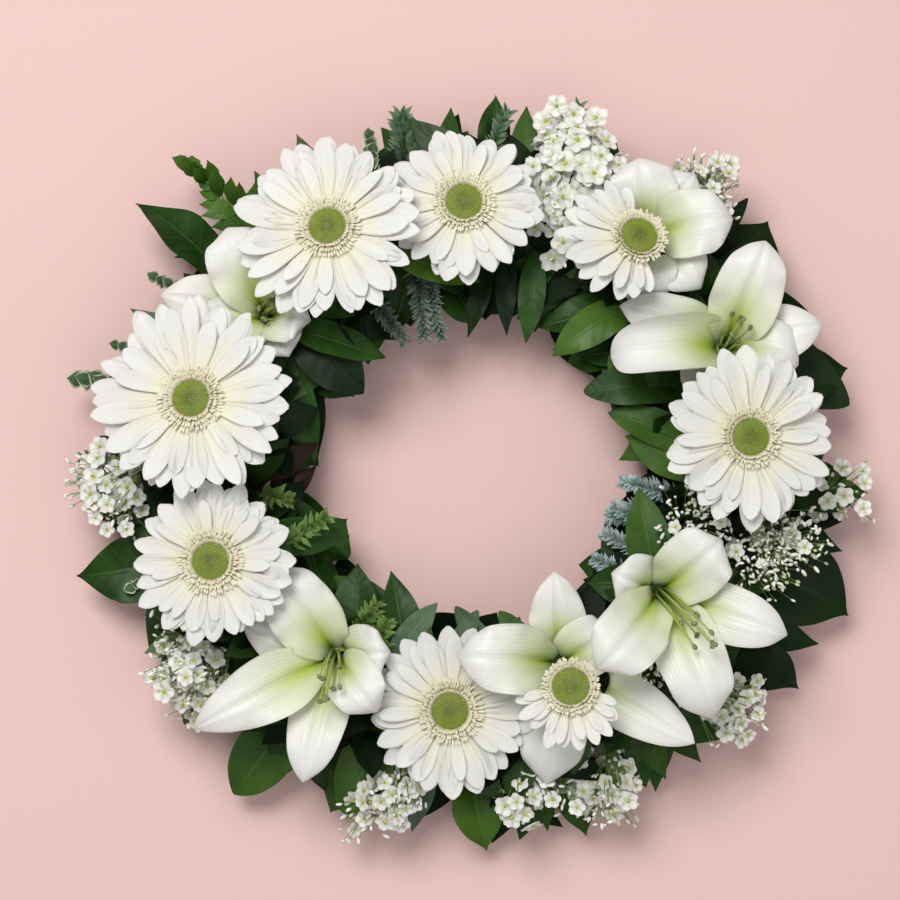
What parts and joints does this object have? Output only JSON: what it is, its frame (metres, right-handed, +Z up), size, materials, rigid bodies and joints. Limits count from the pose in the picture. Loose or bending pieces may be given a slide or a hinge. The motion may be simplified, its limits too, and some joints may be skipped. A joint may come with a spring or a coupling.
{
  "type": "funeral wreath",
  "caption": "Round funeral wreath of white gerberas, white lilies and white filler flowers over dark green leaves, on a ring of floral foam in a tray.",
  "frame": {"origin": "on the surface that the tray rests on, under the middle of the wreath", "axes": "+Z up out of the flowers, +Y towards the top of the wreath as it is displayed, +X to the right as it is looked at"},
  "size_m": [0.4861, 0.4583, 0.1136],
  "materials": {
    "petal": "white gerbera ray petals, matt and finely grooved, cream at the base",
    "heart": "lime-green gerbera heart with a cream floret ring, on a pale green stem",
    "tepal": "white lily tepals, satin, with a green-yellow throat and midrib",
    "pistil": "yellow-green lily stem, pistil and filaments",
    "filler": "small white filler flowers on pale green stalks",
    "leaf": "broad dark green leaves, glossy, with a pale midrib",
    "ruscus": "mid-green ruscus-like sprig, satin",
    "rosemary": "grey-green rosemary-like sprig, matt",
    "pittosporum": "grey-green variegated sprig, satin",
    "spruce": "silver-blue spruce twig, matt",
    "tray": "dark green moulded plastic, matt",
    "foam": "wet dark green floral foam, matt and open-celled"
  },
  "bodies": {
    "root": {"gerbera_1_petals": "petal", "gerbera_1_stem": "heart", "gerbera_2_petals": "petal", "gerbera_2_stem": "heart", "gerbera_3_petals": "petal", "gerbera_3_stem": "heart", "gerbera_4_petals": "petal", "gerbera_4_stem": "heart", "gerbera_5_petals": "petal", "gerbera_5_stem": "heart", "gerbera_6_petals": "petal", "gerbera_6_stem": "heart", "gerbera_7_petals": "petal", "gerbera_7_stem": "heart", "gerbera_8_petals": "petal", "gerbera_8_stem": "heart", "lily_1_tepals": "tepal", "lily_1_stem": "pistil", "lily_2_tepals": "tepal", "lily_2_stem": "pistil", "lily_3_tepals": "tepal", "lily_3_stem": "pistil", "lily_4_tepals": "tepal", "lily_4_stem": "pistil", "lily_5_tepals": "tepal", "lily_5_stem": "pistil", "lily_6_tepals": "tepal", "lily_6_stem": "pistil", "filler_sprig_1": "filler", "filler_sprig_2": "filler", "filler_sprig_3": "filler", "filler_sprig_4": "filler", "filler_sprig_5": "filler", "filler_sprig_6": "filler", "filler_sprig_7": "filler", "filler_sprig_8": "filler", "filler_sprig_9": "filler", "outer_leaf_1": "leaf", "outer_leaf_2": "leaf", "outer_leaf_3": "leaf", "outer_leaf_4": "leaf", "outer_leaf_5": "leaf", "outer_leaf_6": "leaf", "outer_leaf_7": "leaf", "outer_leaf_8": "leaf", "outer_leaf_9": "leaf", "outer_leaf_10": "leaf", "outer_leaf_11": "leaf", "outer_leaf_12": "leaf", "outer_leaf_13": "leaf", "inner_leaf_1": "leaf", "inner_leaf_2": "leaf", "inner_leaf_3": "leaf", "inner_leaf_4": "leaf", "ruscus_sprig": "ruscus", "rosemary_sprig": "rosemary", "pittosporum_sprig": "pittosporum", "spruce_twig": "spruce", "ring_tray": "tray", "foam_ring": "foam"}
  },
  "joints": []
}
